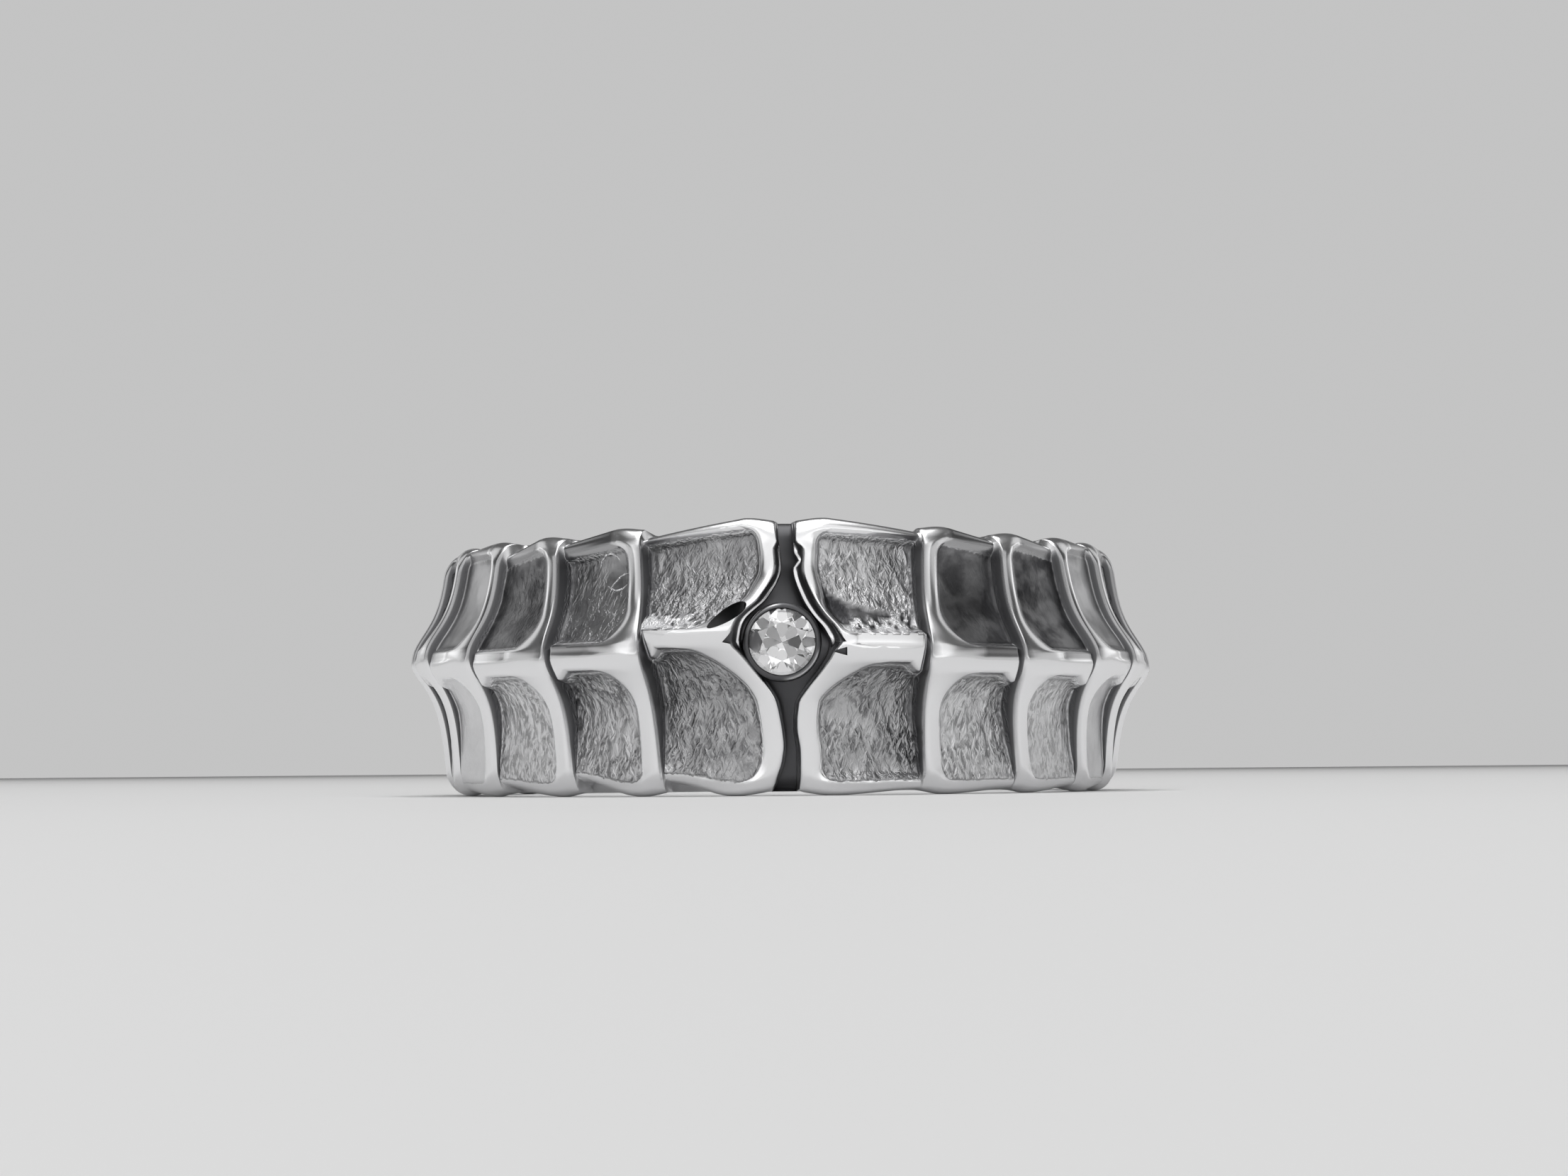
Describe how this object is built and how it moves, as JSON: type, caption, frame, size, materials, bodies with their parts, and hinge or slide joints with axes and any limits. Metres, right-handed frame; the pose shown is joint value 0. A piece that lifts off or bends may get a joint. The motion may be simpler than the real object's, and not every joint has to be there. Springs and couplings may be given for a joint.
{
  "type": "snakeskin ring",
  "caption": "Cast metal finger ring: a keeled band of overlapping rimmed plates with sunk, textured panels, and one round brilliant-cut stone in a bay at the front.",
  "frame": {"origin": "on the finger hole's axis, in the plane that the ring lies on", "axes": "+Z along the finger hole, up from the resting plane; -Y towards the stone; +X to the right as the stone faces the viewer"},
  "size_m": [0.0234, 0.0233, 0.0079],
  "materials": {
    "silver": "polished rims over darkened, bark-textured panels",
    "stone": "clear, facet cut"
  },
  "bodies": {
    "root": {"band": "silver", "stone": "stone"}
  },
  "joints": []
}
